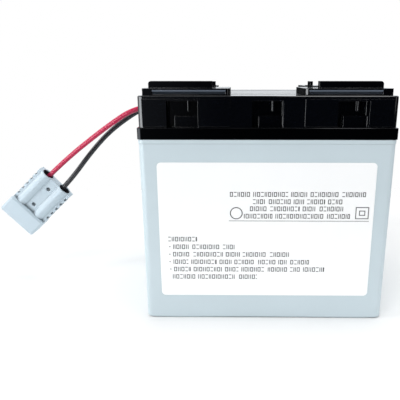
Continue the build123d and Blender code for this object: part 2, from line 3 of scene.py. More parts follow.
import bpy
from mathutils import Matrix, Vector


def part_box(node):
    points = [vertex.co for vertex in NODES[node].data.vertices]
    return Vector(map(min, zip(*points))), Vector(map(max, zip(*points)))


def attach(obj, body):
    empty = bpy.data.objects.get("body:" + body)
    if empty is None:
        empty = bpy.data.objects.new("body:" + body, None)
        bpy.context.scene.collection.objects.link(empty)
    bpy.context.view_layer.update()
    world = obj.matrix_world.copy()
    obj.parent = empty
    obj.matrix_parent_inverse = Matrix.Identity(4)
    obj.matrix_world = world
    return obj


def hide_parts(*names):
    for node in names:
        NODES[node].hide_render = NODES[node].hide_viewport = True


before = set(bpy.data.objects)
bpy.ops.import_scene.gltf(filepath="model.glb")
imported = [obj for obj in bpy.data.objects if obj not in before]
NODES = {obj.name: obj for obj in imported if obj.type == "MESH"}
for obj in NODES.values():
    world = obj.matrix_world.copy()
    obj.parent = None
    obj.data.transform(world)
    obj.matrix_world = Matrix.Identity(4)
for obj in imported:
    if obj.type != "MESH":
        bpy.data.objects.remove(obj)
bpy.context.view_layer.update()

bl_info = {
    "name": "UPS Battery Cartridge",
    "version": (1, 0, 0),
    "blender": (4, 5, 0),
    "location": "View3D > Sidebar > Cartridge",
    "description": "Finishes a battery cartridge and sets it on a white stage",
    "category": "Object",
}

MM = 0.001

# The leads' thickness, the middle of the connector's wire end in X and Z, and its slope. Then how far its
# poles and its wire sleeves stand from the middle. All lengths are in metres.
LEAD_D = 4.2 * MM
CONN = (-0.1820, 0.0888)
CONN_TILT = math.radians(43.5)
POLE = 0.0080
SLEEVE = 0.0096


def conn_point(along, across):
    """A point in the connector's middle plane, from the middle of its wire end."""
    c, s = math.cos(CONN_TILT), math.sin(CONN_TILT)
    return (CONN[0] - along * c + across * s, 0.0, CONN[1] - along * s - across * c)


# The routes of the two leads, from the lug to the contact, and their real lengths
RED_ROUTE = [
    (-0.078, -0.01135, 0.157),
    (-0.102, -0.01135, 0.157),
    (-0.1332, -0.006, 0.1376),
    conn_point(-0.018, -POLE),
    conn_point(0.010, -POLE),
]
BLACK_ROUTE = [
    (-0.078, 0.01135, 0.157),
    (-0.0975, 0.01135, 0.157),
    (-0.1285, 0.007, 0.1373),
    (-0.148, 0.0035, 0.1175),
    conn_point(-0.009, POLE),
    conn_point(0.010, POLE),
]
RED_LENGTH = 0.1402
BLACK_LENGTH = 0.1388


# Shader building blocks


def new_group(name, inputs, outputs):
    """An empty node group with those sockets: each is a name, a type and a default."""
    group = bpy.data.node_groups.new(name, "ShaderNodeTree")
    for label, kind, default in inputs:
        socket = group.interface.new_socket(label, in_out="INPUT", socket_type=kind)
        socket.default_value = default
    for label, kind in outputs:
        group.interface.new_socket(label, in_out="OUTPUT", socket_type=kind)
    start = group.nodes.new("NodeGroupInput")
    end = group.nodes.new("NodeGroupOutput")
    return group, start, end


def math_node(tree, operation, a, b=None, clamp=False):
    """A math node on sockets or numbers."""
    node = tree.nodes.new("ShaderNodeMath")
    node.operation = operation
    node.use_clamp = clamp
    for i, value in enumerate((a, b)):
        if value is None:
            continue
        if isinstance(value, (int, float)):
            node.inputs[i].default_value = value
        else:
            tree.links.new(value, node.inputs[i])
    return node.outputs[0]


def ramp(tree, value, low, high, out_low=0.0, out_high=1.0):
    """Maps a value from one range to another and clamps it."""
    node = tree.nodes.new("ShaderNodeMapRange")
    for i, v in enumerate((low, high, out_low, out_high)):
        node.inputs[i + 1].default_value = v
    tree.links.new(value, node.inputs[0])
    return node.outputs[0]


def noise(tree, coords, scale, detail=3.0, roughness=0.55, stretch=None):
    """A noise value at a scale per metre, stretched along an axis where asked."""
    if stretch is not None:
        mapping = tree.nodes.new("ShaderNodeMapping")
        mapping.inputs["Scale"].default_value = stretch
        tree.links.new(coords, mapping.inputs["Vector"])
        coords = mapping.outputs[0]
    node = tree.nodes.new("ShaderNodeTexNoise")
    node.inputs["Scale"].default_value = scale
    node.inputs["Detail"].default_value = detail
    node.inputs["Roughness"].default_value = roughness
    tree.links.new(coords, node.inputs["Vector"])
    return node.outputs["Fac"]


def object_coords(tree):
    """The piece's own coordinates, in metres."""
    return tree.nodes.new("ShaderNodeTexCoord").outputs["Object"]


def split_xyz(tree, vector):
    """The three numbers of a vector, by their names."""
    node = tree.nodes.new("ShaderNodeSeparateXYZ")
    tree.links.new(vector, node.inputs[0])
    return node.outputs


def dot_product(tree, a, b):
    """The dot product of a vector with another, or with three numbers."""
    node = tree.nodes.new("ShaderNodeVectorMath")
    node.operation = "DOT_PRODUCT"
    tree.links.new(a, node.inputs[0])
    if isinstance(b, tuple):
        node.inputs[1].default_value = b
    else:
        tree.links.new(b, node.inputs[1])
    return node.outputs["Value"]


def softened_normal(tree, radius, samples):
    """The normal with the edges rounded over a radius."""
    node = tree.nodes.new("ShaderNodeBevel")
    node.samples = samples
    tree.links.new(radius, node.inputs["Radius"])
    return node.outputs[0]


def bump(tree, height, strength, distance, normal):
    """The normal with a height laid on it."""
    node = tree.nodes.new("ShaderNodeBump")
    node.inputs["Distance"].default_value = distance
    tree.links.new(height, node.inputs["Height"])
    tree.links.new(strength, node.inputs["Strength"])
    tree.links.new(normal, node.inputs["Normal"])
    return node.outputs[0]


def mix_shader(tree, factor, a, b):
    """Mixes two shaders."""
    node = tree.nodes.new("ShaderNodeMixShader")
    for i, value in enumerate((factor, a, b)):
        tree.links.new(value, node.inputs[i])
    return node.outputs[0]


# Effects that more than one material can use


def make_moulded_group():
    """Moulded plastic: a fine grain, a slight sink over large areas, and softened edges."""
    group, start, end = new_group(
        "Moulded surface",
        [
            ("Grain", "NodeSocketFloat", 0.1),
            ("Grain scale", "NodeSocketFloat", 2500.0),
            ("Sink", "NodeSocketFloat", 0.1),
            ("Edge radius", "NodeSocketFloat", 0.0004),
        ],
        [("Normal", "NodeSocketVector")],
    )
    coords = object_coords(group)
    grain = group.nodes.new("ShaderNodeTexNoise")
    grain.inputs["Detail"].default_value = 2.0
    group.links.new(coords, grain.inputs["Vector"])
    group.links.new(start.outputs["Grain scale"], grain.inputs["Scale"])
    soft = softened_normal(group, start.outputs["Edge radius"], samples=12)
    broad = bump(group, noise(group, coords, 34.0, 1.5), start.outputs["Sink"], 1.2 * MM, soft)
    fine = bump(group, grain.outputs["Fac"], start.outputs["Grain"], 0.1 * MM, broad)
    group.links.new(fine, end.inputs["Normal"])
    return group


def make_marks_group():
    """Handling marks: long faint scuffs and broad patches, as a value from 0 to 1."""
    group, start, end = new_group(
        "Handling marks",
        [("Amount", "NodeSocketFloat", 0.3)],
        [("Value", "NodeSocketFloat")],
    )
    coords = object_coords(group)
    long_marks = noise(group, coords, 60.0, 5.0, 0.7, (0.25, 1.0, 3.0))
    across = noise(group, coords, 85.0, 5.0, 0.75, (2.5, 1.0, 0.3))
    patches = noise(group, coords, 14.0, 3.0)
    thin_a = ramp(group, long_marks, 0.60, 0.68)
    thin_b = ramp(group, across, 0.62, 0.70)
    thin = math_node(group, "MAXIMUM", thin_a, thin_b)
    broad = ramp(group, patches, 0.35, 0.7, 0.0, 0.6)
    both = math_node(group, "ADD", math_node(group, "MULTIPLY", thin, 0.5), broad)
    out = math_node(group, "MULTIPLY", both, start.outputs["Amount"], clamp=True)
    group.links.new(out, end.inputs["Value"])
    return group


def make_dust_group():
    """Dust that settles on faces that look up, in uneven patches, as a mask."""
    group, start, end = new_group(
        "Settled dust",
        [("Amount", "NodeSocketFloat", 0.2)],
        [("Mask", "NodeSocketFloat")],
    )
    geometry = group.nodes.new("ShaderNodeNewGeometry")
    up = ramp(group, split_xyz(group, geometry.outputs["Normal"])["Z"], 0.35, 0.95)
    coords = object_coords(group)
    patches = ramp(group, noise(group, coords, 45.0, 6.0, 0.65), 0.4, 0.75)
    specks = ramp(group, noise(group, coords, 1400.0, 2.0), 0.66, 0.74)
    both = math_node(group, "MAXIMUM", patches, specks)
    amount = math_node(group, "MULTIPLY", up, start.outputs["Amount"])
    group.links.new(math_node(group, "MULTIPLY", both, amount, clamp=True), end.inputs["Mask"])
    return group


def make_edge_group():
    """Worn edges: where the softened normal leaves the true one, broken up by noise."""
    group, start, end = new_group(
        "Worn edges",
        [("Radius", "NodeSocketFloat", 0.0005), ("Amount", "NodeSocketFloat", 0.5)],
        [("Mask", "NodeSocketFloat")],
    )
    soft = softened_normal(group, start.outputs["Radius"], samples=6)
    geometry = group.nodes.new("ShaderNodeNewGeometry")
    edge = ramp(group, dot_product(group, soft, geometry.outputs["Normal"]), 0.97, 0.80)
    coords = object_coords(group)
    broken = ramp(group, noise(group, coords, 260.0, 4.0, 0.7), 0.35, 0.65)
    out = math_node(group, "MULTIPLY", edge, broken)
    out = math_node(group, "MULTIPLY", out, start.outputs["Amount"], clamp=True)
    group.links.new(out, end.inputs["Mask"])
    return group


def make_crevice_group():
    """Painted shade in inner corners, deep holes and wherever other parts are near, as a mask."""
    group, start, end = new_group(
        "Painted near-part shade",
        [("Reach", "NodeSocketFloat", 0.003), ("Amount", "NodeSocketFloat", 0.5)],
        [("Mask", "NodeSocketFloat")],
    )
    open_sky = group.nodes.new("ShaderNodeAmbientOcclusion")
    open_sky.samples = 8
    group.links.new(start.outputs["Reach"], open_sky.inputs["Distance"])
    closed = ramp(group, open_sky.outputs["AO"], 0.96, 0.35)
    out = math_node(group, "MULTIPLY", closed, start.outputs["Amount"], clamp=True)
    group.links.new(out, end.inputs["Mask"])
    return group


def make_drawn_group():
    """Drawn or cast metal: fine lines along one axis and softened edges."""
    group, start, end = new_group(
        "Drawn metal",
        [("Strength", "NodeSocketFloat", 0.2), ("Edge radius", "NodeSocketFloat", 0.0003)],
        [("Normal", "NodeSocketVector")],
    )
    lines = noise(group, object_coords(group), 900.0, 3.0, 0.6, (0.1, 1.0, 1.0))
    soft = softened_normal(group, start.outputs["Edge radius"], samples=6)
    normal = bump(group, lines, start.outputs["Strength"], 0.05 * MM, soft)
    group.links.new(normal, end.inputs["Normal"])
    return group


# The long grooves in the covers' edges: how far out, between which heights and between which ends, and
# how far above its lower edge the painted highlight starts and is full
GROOVE_Y = 0.0665
GROOVE_Z = (0.1677, 0.1706)
GROOVE_X = (0.029, 0.080)
HIGHLIGHT_START = 0.0004
HIGHLIGHT_FULL = 0.0012


def make_band_group():
    """A painted highlight in the long grooves of the covers' edges, paler towards the top, as a mask."""
    group, start, end = new_group("Groove band", [("Amount", "NodeSocketFloat", 1.0)],
                                  [("Mask", "NodeSocketFloat")])
    place = split_xyz(group, object_coords(group))
    out = math_node(group, "GREATER_THAN", math_node(group, "ABSOLUTE", place["Y"]), GROOVE_Y)
    along = math_node(group, "ABSOLUTE", place["X"])
    for value, (low, high) in ((place["Z"], GROOVE_Z), (along, GROOVE_X)):
        out = math_node(group, "MULTIPLY", out, math_node(group, "GREATER_THAN", value, low))
        out = math_node(group, "MULTIPLY", out, math_node(group, "LESS_THAN", value, high))
    fade = ramp(group, place["Z"], GROOVE_Z[0] + HIGHLIGHT_START, GROOVE_Z[0] + HIGHLIGHT_FULL, 0.1, 1.0)
    out = math_node(group, "MULTIPLY", out, fade)
    group.links.new(math_node(group, "MULTIPLY", out, start.outputs["Amount"]), end.inputs["Mask"])
    return group


# How squarely a face looks along the long axis where it starts to be matt, and where it is fully matt
END_FACING = (0.75, 0.95)


def make_ends_group():
    """Faces that look along the long axis, which are left matt, as a mask."""
    group, start, end = new_group("Matt ends", [("Amount", "NodeSocketFloat", 1.0)],
                                  [("Mask", "NodeSocketFloat")])
    normal = group.nodes.new("ShaderNodeNewGeometry").outputs["Normal"]
    facing = ramp(group, math_node(group, "ABSOLUTE", split_xyz(group, normal)["X"]), *END_FACING)
    group.links.new(math_node(group, "MULTIPLY", facing, start.outputs["Amount"]), end.inputs["Mask"])
    return group


# How deep in a wire bore the painted shade starts and is full
BORE_SHADE_DEPTH = (0.1 * MM, 1.0 * MM)


def make_bore_group():
    """Painted shade in the two wire bores of the connector's housing, darker with depth, as a mask."""
    group, start, end = new_group(
        "Wire bores",
        [("Radius", "NodeSocketFloat", 0.0053), ("Amount", "NodeSocketFloat", 0.95)],
        [("Mask", "NodeSocketFloat")],
    )
    c, s = math.cos(CONN_TILT), math.sin(CONN_TILT)
    coords = object_coords(group)
    places = []
    for axis in ((-c, 0.0, -s), (s, 0.0, -c)):
        wire_end = CONN[0] * axis[0] + CONN[1] * axis[2]
        places.append(math_node(group, "SUBTRACT", dot_product(group, coords, axis), wire_end))
    along, across = places
    forward = split_xyz(group, coords)["Y"]
    off = math_node(group, "SUBTRACT", math_node(group, "ABSOLUTE", across), SLEEVE)
    square = math_node(group, "ADD", math_node(group, "MULTIPLY", off, off),
                       math_node(group, "MULTIPLY", forward, forward))
    inside = math_node(group, "LESS_THAN", math_node(group, "SQRT", square), start.outputs["Radius"])
    deep = ramp(group, along, *BORE_SHADE_DEPTH)
    out = math_node(group, "MULTIPLY", math_node(group, "MULTIPLY", inside, deep), start.outputs["Amount"])
    group.links.new(out, end.inputs["Mask"])
    return group


# The shared groups, which main fills
GROUPS = {}


def group_node(tree, name, **values):
    """A shared node group in a material, with its values."""
    node = tree.nodes.new("ShaderNodeGroup")
    node.node_tree = GROUPS[name]
    for key, value in values.items():
        node.inputs[key.replace("_", " ")].default_value = value
    return node


def base_material(name, color, rough, metal=0.0, specular=0.5):
    """A material with a Principled shader. Gives the material, its tree and the shader."""
    material = bpy.data.materials.new(name)
    material.use_nodes = True
    tree = material.node_tree
    shader = tree.nodes["Principled BSDF"]
    shader.inputs["Base Color"].default_value = (*color, 1.0)
    shader.inputs["Roughness"].default_value = rough
    shader.inputs["Metallic"].default_value = metal
    shader.inputs["Specular IOR Level"].default_value = specular
    material.diffuse_color = (*color, 1.0)
    return material, tree, shader


def mix_color(tree, factor, a, b):
    """Mixes two colours, each a socket or three numbers."""
    node = tree.nodes.new("ShaderNodeMix")
    node.data_type = "RGBA"
    tree.links.new(factor, node.inputs[0])
    for socket, value in ((node.inputs[6], a), (node.inputs[7], b)):
        if isinstance(value, tuple):
            socket.default_value = (*value, 1.0)
        else:
            tree.links.new(value, socket)
    return node.outputs[2]


# What the plastics share: the colours of painted shade where parts are near, of painted shade in the wire
# bores, of dust and of worn black edges
PAINTED_SHADE_COLOR = (0.016, 0.018, 0.022)
BORE_SHADE_COLOR = (0.01, 0.01, 0.012)
DUST_COLOR = (0.42, 0.41, 0.39)
WORN_BLACK = (0.02, 0.021, 0.023)
# How much roughness a full mark adds, how much wider than an edge its wear is, how much sharper the crisp
# edges are and over what way they come in, and how dull the satin flange is and over what height it ends
MARK_ROUGHNESS = 0.35
WEAR_WIDTH = 1.5
CRISP_SHARE = 0.3
CRISP_FADE = 0.2 * MM
SATIN_SHARE = 0.7
SATIN_FADE = 0.1 * MM


def toned(tree, coords, color, variation):
    """A colour that is a little darker in some places and lighter in others."""
    tone = ramp(tree, noise(tree, coords, 18.0, 4.0), 0.3, 0.7)
    darker = tuple(c * (1 - variation) for c in color)
    lighter = tuple(min(1.0, c * (1 + variation)) for c in color)
    return mix_color(tree, tone, darker, lighter)


def matt_parts(tree, coords, shader, roughness, satin_below):
    """Takes the clear reflections off the end faces, and most of them below a height if asked.

    Metallic does it, because a metal as dark as these plastics sends back almost nothing. Gives the
    roughness back with the ends in it.
    """
    ends = group_node(tree, "ends").outputs[0]
    dull = ends
    if satin_below is not None:
        height = split_xyz(tree, coords)["Z"]
        satin = ramp(tree, height, satin_below, satin_below + SATIN_FADE, SATIN_SHARE, 0.0)
        dull = math_node(tree, "MAXIMUM", ends, satin)
    tree.links.new(dull, shader.inputs["Metallic"])
    return math_node(tree, "MAXIMUM", roughness, ends)


def plastic(name, color, rough, grain=0.1, scale=2500.0, sink=0.1, specular=0.5, marks=0.3, dust=0.2,
            worn=0.0, worn_color=(0.2, 0.2, 0.2), edge=0.0004, variation=0.04, band_color=None, painted_shade=0.0,
            painted_shade_reach=0.003, matt_ends=False, bores=False, crisp_from=None, satin_below=None):
    """A moulded plastic with softened edges, grain, handling marks and dust.

    If asked, it has worn edges, painted shade in its corners and where other parts are near, a painted
    highlight in the covers' grooves, painted shade in the wire bores, edges that are crisper beyond a
    distance from the middle, and matt ends with a satin finish below a height.
    """
    material, tree, shader = base_material(name, color, rough, specular=specular)
    coords = object_coords(tree)
    surface = group_node(tree, "moulded", Grain=grain, Grain_scale=scale, Sink=sink, Edge_radius=edge)
    tree.links.new(surface.outputs["Normal"], shader.inputs["Normal"])
    if crisp_from is not None:
        out = math_node(tree, "ABSOLUTE", split_xyz(tree, coords)["Y"])
        radius = ramp(tree, out, crisp_from, crisp_from + CRISP_FADE, edge, edge * CRISP_SHARE)
        tree.links.new(radius, surface.inputs["Edge radius"])
    mark = math_node(tree, "MULTIPLY", group_node(tree, "marks", Amount=marks).outputs[0], MARK_ROUGHNESS)
    roughness = math_node(tree, "ADD", mark, rough, clamp=True)
    if matt_ends:
        roughness = matt_parts(tree, coords, shader, roughness, satin_below)
    tree.links.new(roughness, shader.inputs["Roughness"])
    # Colour layers: worn edges, painted shade where parts are near, painted shade in the wire bores, the
    # painted highlight in the covers' grooves, and dust
    layers = []
    if worn > 0:
        layers.append((group_node(tree, "edges", Radius=edge * WEAR_WIDTH, Amount=worn), worn_color))
    if painted_shade > 0:
        layers.append((group_node(tree, "crevice", Reach=painted_shade_reach, Amount=painted_shade), PAINTED_SHADE_COLOR))
    # Painted shade deep in the connector's wire bores
    if bores:
        layers.append((group_node(tree, "bore"), BORE_SHADE_COLOR))
    if band_color is not None:
        layers.append((group_node(tree, "band"), band_color))
    layers.append((group_node(tree, "dust", Amount=dust), DUST_COLOR))
    shade = toned(tree, coords, color, variation)
    for mask, layer_color in layers:
        shade = mix_color(tree, mask.outputs[0], shade, layer_color)
    tree.links.new(shade, shader.inputs["Base Color"])
    return material


def metal(name, color, rough, strength=0.2, tarnish=(0.3, 0.3, 0.3), amount=0.4):
    """A drawn or cast metal with tarnish in patches."""
    material, tree, shader = base_material(name, color, rough, metal=1.0)
    lines = group_node(tree, "drawn", Strength=strength)
    tree.links.new(lines.outputs["Normal"], shader.inputs["Normal"])
    patches = ramp(tree, noise(tree, object_coords(tree), 150.0, 5.0, 0.65), 0.42, 0.72, 0.0, amount)
    tree.links.new(mix_color(tree, patches, color, tarnish), shader.inputs["Base Color"])
    spread = math_node(tree, "MULTIPLY", patches, 0.4)
    tree.links.new(math_node(tree, "ADD", spread, rough, clamp=True), shader.inputs["Roughness"])
    return material


# Settings that a user would change


class CartridgeSettings(bpy.types.PropertyGroup):
    """Colours and wear of the cartridge."""

    case_color: bpy.props.FloatVectorProperty(
        name="Case", description="Colour of the two cases", subtype="COLOR", size=3,
        default=(0.56, 0.655, 0.70), min=0.0, max=1.0,
    )
    lid_color: bpy.props.FloatVectorProperty(
        name="Lid", description="Colour of the lids and covers", subtype="COLOR", size=3,
        default=(0.0012, 0.0016, 0.0028), min=0.0, max=1.0,
    )
    red_color: bpy.props.FloatVectorProperty(
        name="Positive lead", description="Colour of the positive lead's sheath", subtype="COLOR", size=3,
        default=(0.50, 0.006, 0.062), min=0.0, max=1.0,
    )
    black_color: bpy.props.FloatVectorProperty(
        name="Negative lead", description="Colour of the negative lead's sheath", subtype="COLOR", size=3,
        default=(0.018, 0.018, 0.022), min=0.0, max=1.0,
    )
    housing_color: bpy.props.FloatVectorProperty(
        name="Connector", description="Colour of the connector's housing", subtype="COLOR", size=3,
        default=(0.52, 0.62, 0.69), min=0.0, max=1.0,
    )
    print_color: bpy.props.FloatVectorProperty(
        name="Print", description="Colour of the simple print on the label", subtype="COLOR", size=3,
        default=(0.05, 0.05, 0.055), min=0.0, max=1.0,
    )
    dust: bpy.props.FloatProperty(
        name="Dust", description="How much dust lies on the faces that look up", subtype="FACTOR",
        default=0.05, min=0.0, max=1.0,
    )
    marks: bpy.props.FloatProperty(
        name="Handling marks", description="How strong the scuffs in the gloss are", subtype="FACTOR",
        default=0.2, min=0.0, max=1.0,
    )


class StageSettings(bpy.types.PropertyGroup):
    """Camera and light."""

    camera_place: bpy.props.FloatVectorProperty(
        name="Camera place", description="Where the camera stands", subtype="TRANSLATION", unit="LENGTH",
        size=3, default=(-0.0207, -0.3755, 0.1793),
    )
    camera_pitch: bpy.props.FloatProperty(
        name="Pitch", description="How far the camera looks down", subtype="ANGLE", unit="ROTATION",
        default=math.radians(14.28),
    )
    camera_yaw: bpy.props.FloatProperty(
        name="Yaw", description="How far the camera turns to its right", subtype="ANGLE", unit="ROTATION",
        default=math.radians(-0.57),
    )
    focal: bpy.props.FloatProperty(
        name="Focal length", description="Focal length on a 36 mm wide sensor", unit="CAMERA",
        default=39.06, min=10.0, max=200.0,
    )
    floor_tone: bpy.props.FloatProperty(
        name="Floor", description="How pale the floor is", subtype="FACTOR", default=0.9, min=0.0, max=1.0,
    )


# Pieces


def make_lead(name, points, material):
    """A round lead as a smooth spline through its route's control points."""
    data = bpy.data.curves.new(name, "CURVE")
    data.dimensions = "3D"
    data.resolution_u = 24
    data.bevel_depth = LEAD_D / 2
    data.bevel_resolution = 10
    data.use_fill_caps = True
    spline = data.splines.new("NURBS")
    spline.points.add(len(points) - 1)
    for point, place in zip(spline.points, points):
        point.co = (*place, 1.0)
    spline.order_u = 3
    spline.use_endpoint_u = True
    lead = bpy.data.objects.new(name, data)
    data.materials.append(material)
    bpy.context.scene.collection.objects.link(lead)
    return lead


def dress(material, *names):
    """Puts a material in every slot of those CAD nodes."""
    for name in names:
        data = NODES[name].data
        if not data.materials:
            data.materials.append(material)
        for i in range(len(data.materials)):
            data.materials[i] = material


class CARTRIDGE_OT_leads(bpy.types.Operator):
    """Makes the red and the black lead, which hold the connector, and finishes the link lead"""

    bl_idname = "cartridge.leads"
    bl_label = "Leads"

    def execute(self, context):
        settings = context.scene.cartridge
        # Both sheaths get painted shade where other parts are near, which darkens them close to the lid
        red = plastic("Red sheath", tuple(settings.red_color), 0.22, grain=0.02, scale=1800.0, sink=0.1,
                      specular=0.42, marks=settings.marks, dust=0.0, variation=0.06, edge=0.00002,
                      painted_shade=0.7, painted_shade_reach=0.03)
        black = plastic("Black sheath", tuple(settings.black_color), 0.22, grain=0.02, scale=1800.0, sink=0.1,
                        marks=settings.marks, dust=0.0, variation=0.1, edge=0.00002, painted_shade=0.4,
                        painted_shade_reach=0.03)
        pieces = [
            ("red_lead_sheath", RED_ROUTE, red, "red_lead", "red_sheath", RED_LENGTH),
            ("black_lead_sheath", BLACK_ROUTE, black, "black_lead", "black_sheath", BLACK_LENGTH),
        ]
        for name, route, material, node, slot, length in pieces:
            lead = make_lead(name, route, material)
            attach(lead, "root")
            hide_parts(node)
        dress(black, "link_lead")
        return {"FINISHED"}


# Just inside the lids' outer walls, from the middle, and the tops of the lids' flanges
LID_WALL = 0.0748
FLANGE_TOP = 0.1454


class CARTRIDGE_OT_plastics(bpy.types.Operator):
    """Finishes the cases, lids, covers, caps, seals, pads and the connector's housing"""

    bl_idname = "cartridge.plastics"
    bl_label = "Plastics"

    def execute(self, context):
        s = context.scene.cartridge
        # The cases get painted shade in their inner corners
        case = plastic("Container plastic", tuple(s.case_color), 0.42, grain=0.2, scale=1500.0, sink=0.10,
                       marks=s.marks, dust=s.dust, worn=0.12, worn_color=(0.8, 0.84, 0.86), variation=0.02,
                       painted_shade=0.3, painted_shade_reach=0.002)
        lid = plastic("Lid plastic", tuple(s.lid_color), 0.07, grain=0.03, scale=1900.0, sink=0.12,
                      marks=s.marks, dust=s.dust, worn=0.1, worn_color=WORN_BLACK, edge=0.0006,
                      variation=0.15, matt_ends=True, crisp_from=LID_WALL, satin_below=FLANGE_TOP)
        # The covers get a painted highlight in their long grooves
        cover = plastic("Cover plastic", tuple(s.lid_color), 0.09, grain=0.04, scale=1900.0, sink=0.15,
                        marks=s.marks, dust=s.dust, worn=0.1, worn_color=WORN_BLACK, edge=0.0005,
                        variation=0.15, band_color=(0.115, 0.14, 0.18), matt_ends=True)
        vent = plastic("Vent cover plastic", tuple(s.lid_color), 0.26, grain=0.15, scale=1500.0,
                       specular=0.35, marks=s.marks, dust=s.dust)
        # The housing gets painted shade in its corners, grips and holes, and more painted shade deep in its
        # wire bores
        housing = plastic("Connector plastic", tuple(s.housing_color), 0.32, grain=0.14, scale=1600.0,
                          sink=0.15, marks=s.marks, dust=s.dust, worn=0.15, worn_color=(0.75, 0.8, 0.84),
                          edge=0.0006, painted_shade=0.85, painted_shade_reach=0.003, bores=True)
        rubber = plastic("Cap rubber", (0.02, 0.02, 0.02), 0.7, grain=0.3, marks=0.1, dust=s.dust)
        foam = plastic("Foam", (0.05, 0.05, 0.055), 0.9, grain=1.0, scale=900.0, marks=0.0, dust=0.0)
        for side in ("front", "rear"):
            dress(case, side + "_case")
            dress(lid, side + "_lid")
            dress(vent, side + "_vent_cover")
            dress(rubber, side + "_valve_caps")
        dress(cover, "left_terminal_cover", "right_terminal_cover")
        dress(housing, "connector_housing")
        dress(rubber, "terminal_seals")
        dress(foam, "joining_pads")
        return {"FINISHED"}


class CARTRIDGE_OT_metals(bpy.types.Operator):
    """Finishes the plates, separators, terminals, fasteners, lugs, contacts and springs"""

    bl_idname = "cartridge.metals"
    bl_label = "Metals and plates"

    def execute(self, context):
        lead = metal("Lead", (0.32, 0.33, 0.35), 0.45, strength=0.35, tarnish=(0.16, 0.16, 0.17), amount=0.7)
        tin = metal("Tinned terminal", (0.66, 0.65, 0.62), 0.28, strength=0.2, tarnish=(0.36, 0.34, 0.3),
                    amount=0.45)
        steel = metal("Zinc plated steel", (0.62, 0.63, 0.64), 0.24, strength=0.15, tarnish=(0.4, 0.38, 0.3),
                      amount=0.35)
        silver = metal("Silvered contact", (0.82, 0.8, 0.77), 0.16, strength=0.12, tarnish=(0.45, 0.4, 0.32),
                       amount=0.35)
        oxide = plastic("Lead oxide paste", (0.09, 0.035, 0.02), 0.85, grain=0.8, scale=1200.0, marks=0.0,
                        dust=0.0, variation=0.3)
        mat = plastic("Glass mat", (0.8, 0.8, 0.76), 0.95, grain=1.0, scale=3000.0, marks=0.0, dust=0.0)
        for side in ("front", "rear"):
            dress(lead, side + "_negative_plates")
            dress(oxide, side + "_positive_plates")
            dress(mat, side + "_separators")
            dress(tin, side + "_positive_terminal", side + "_negative_terminal")
        dress(steel, "terminal_bolts", "terminal_nuts", "terminal_washers", "contact_springs")
        dress(tin, "red_lead_lug", "black_lead_lug", "link_lugs")
        dress(silver, "connector_contacts")
        return {"FINISHED"}


# The print on the label, in millimetres: each row's height, its two ends, how many groups it has, and
# whether a dash stands before it.
PRINT_ROWS = (
    (98.2, -25.9, 70.9, 5, False),
    (92.8, -9.4, 54.9, 5, False),
    (87.5, -11.5, 55.9, 4, False),
    (81.9, -15.8, 60.6, 3, False),
    (64.1, -71.2, -50.1, 1, False),
    (58.1, -70.9, -21.5, 3, True),
    (52.2, -71.1, 18.4, 5, True),
    (46.2, -71.0, 32.6, 7, True),
    (40.3, -70.8, 44.1, 7, True),
    (34.3, -68.8, -5.7, 3, False),
)
# How the groups of a row share its length
WORD_SHARES = (1.0, 1.7, 0.8, 1.4, 1.15, 0.6, 1.25)
# Each mark's width and which of its left, right, top and bottom sides are drawn
MARKS = ((2.2, "lrtb"), (1.9, "tb"), (1.7, "lr"), (2.2, "lrtb"), (0.55, "l"), (2.2, "lrtb"), (1.9, "lr"))
# The marks' height and stroke, the dash and the room that it takes, and the gaps between groups and marks
MARK_H = 3.5
STROKE = 0.55
DASH = 1.2
DASH_ROOM = 3.1
WORD_GAP = 2.2
MARK_GAP = 0.7
# The rule's lower edge, two ends and height, the ring's middle and two radii, the larger square's left,
# right, bottom and top, how far the smaller one stands inside it, and their stroke
PRINT_RULE = (78.1, -26.7, 74.4, 0.4)
RING = (-21.3, 84.1, 4.6, 3.9)
SQUARE = (64.4, 74.0, 79.9, 88.9)
SQUARE_INSET = 2.6
SQUARE_STROKE = 0.6
# How far the print stands in front of the label
PRINT_LIFT = 0.03


def rectangle(vertices, faces, x0, x1, z0, z1, y):
    """Adds an upright rectangle that faces the front, in millimetres."""
    n = len(vertices)
    vertices += [(x * MM, y * MM, z * MM) for x, z in ((x0, z0), (x1, z0), (x1, z1), (x0, z1))]
    faces.append((n, n + 1, n + 2, n + 3))


def outline(vertices, faces, corners, sides, stroke, y):
    """Adds the named sides, left, right, top or bottom, of an upright rectangle as strokes."""
    x0, x1, z0, z1 = corners
    strokes = {
        "l": (x0, min(x0 + stroke, x1), z0, z1),
        "r": (max(x1 - stroke, x0), x1, z0, z1),
        "t": (x0, x1, z1 - stroke, z1),
        "b": (x0, x1, z0, z0 + stroke),
    }
    for side in sides:
        rectangle(vertices, faces, *strokes[side], y)


def ring(vertices, faces, x, z, outer, inner, y, steps=48):
    """Adds a flat ring that faces the front, in millimetres."""
    n = len(vertices)
    for i in range(steps):
        angle = 2 * math.pi * i / steps
        for r in (outer, inner):
            vertices.append(((x + r * math.cos(angle)) * MM, y * MM, (z + r * math.sin(angle)) * MM))
    for i in range(steps):
        a, b = n + 2 * i, n + 2 * ((i + 1) % steps)
        faces.append((a, b, b + 1, a + 1))


def print_row(vertices, faces, row, y):
    """Adds a row of groups of simple open and closed shapes."""
    z, x, x1, groups, dash = row
    if dash:
        rectangle(vertices, faces, x, x + DASH, z - STROKE / 2, z + STROKE / 2, y)
        x += DASH_ROOM
    shares = WORD_SHARES[:groups]
    room = (x1 - x - WORD_GAP * (groups - 1)) / sum(shares)
    mark = int(z)
    for share in shares:
        end = x + room * share
        while x < end - STROKE:
            width, sides = MARKS[mark % len(MARKS)]
            corners = (x, min(x + width, end), z - MARK_H / 2, z + MARK_H / 2)
            outline(vertices, faces, corners, sides, STROKE, y)
            x += width + MARK_GAP
            mark += 1
        x = end + WORD_GAP


